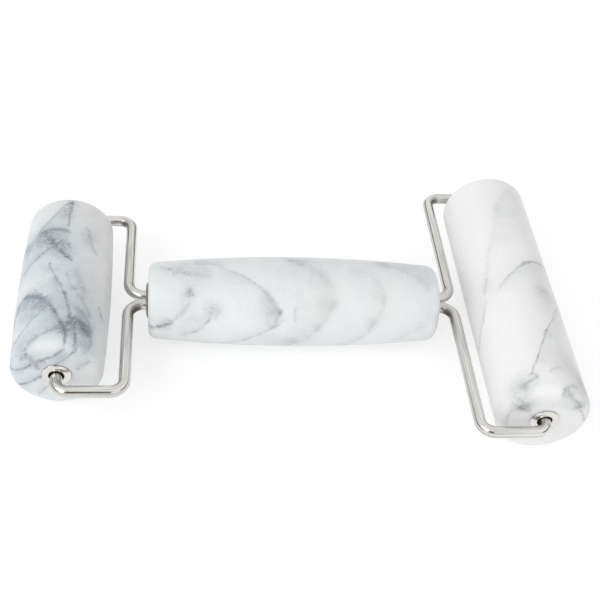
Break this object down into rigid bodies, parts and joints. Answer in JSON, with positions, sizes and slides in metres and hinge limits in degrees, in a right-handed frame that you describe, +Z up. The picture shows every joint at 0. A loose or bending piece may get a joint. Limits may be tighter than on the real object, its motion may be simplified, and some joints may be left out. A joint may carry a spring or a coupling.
{
  "type": "marble dough roller",
  "caption": "Double-ended marble dough roller: a long and a short stone roller turning in bent wire forks, with a barrel-shaped stone grip between them.",
  "frame": {"origin": "on the worktop, under the middle of the grip", "axes": "+X along the grip towards the long roller, +Y along the roller axles towards the back, +Z up"},
  "size_m": [0.1918, 0.1212, 0.0318],
  "materials": {
    "grip_marble": "honed marble with faint grey bands",
    "long_roller_marble": "honed marble with a few grey veins",
    "short_roller_marble": "honed marble with strong blue-grey veins",
    "steel_wire": "satin drawn wire",
    "plated_sleeve": "bright plate",
    "epoxy": "cured adhesive"
  },
  "bodies": {
    "handle": {"grip": "grip_marble", "long_front_arm": "steel_wire", "long_back_arm": "steel_wire", "short_front_arm": "steel_wire", "short_back_arm": "steel_wire", "long_end_ferrule": "plated_sleeve", "short_end_ferrule": "plated_sleeve", "long_end_adhesive": "epoxy", "short_end_adhesive": "epoxy"},
    "long_roller_set": {"long_roller": "long_roller_marble", "long_front_eyelet": "plated_sleeve", "long_back_eyelet": "plated_sleeve"},
    "short_roller_set": {"short_roller": "short_roller_marble", "short_front_eyelet": "plated_sleeve", "short_back_eyelet": "plated_sleeve"}
  },
  "joints": [
    {"name": "long_roller_spin", "type": "hinge", "parent": "handle", "child": "long_roller_set", "pos_m": [0.08, 0, 0.0159], "axis": [0, 1, 0], "continuous": true},
    {"name": "short_roller_spin", "type": "hinge", "parent": "handle", "child": "short_roller_set", "pos_m": [-0.08, 0, 0.0159], "axis": [0, 1, 0], "continuous": true}
  ]
}
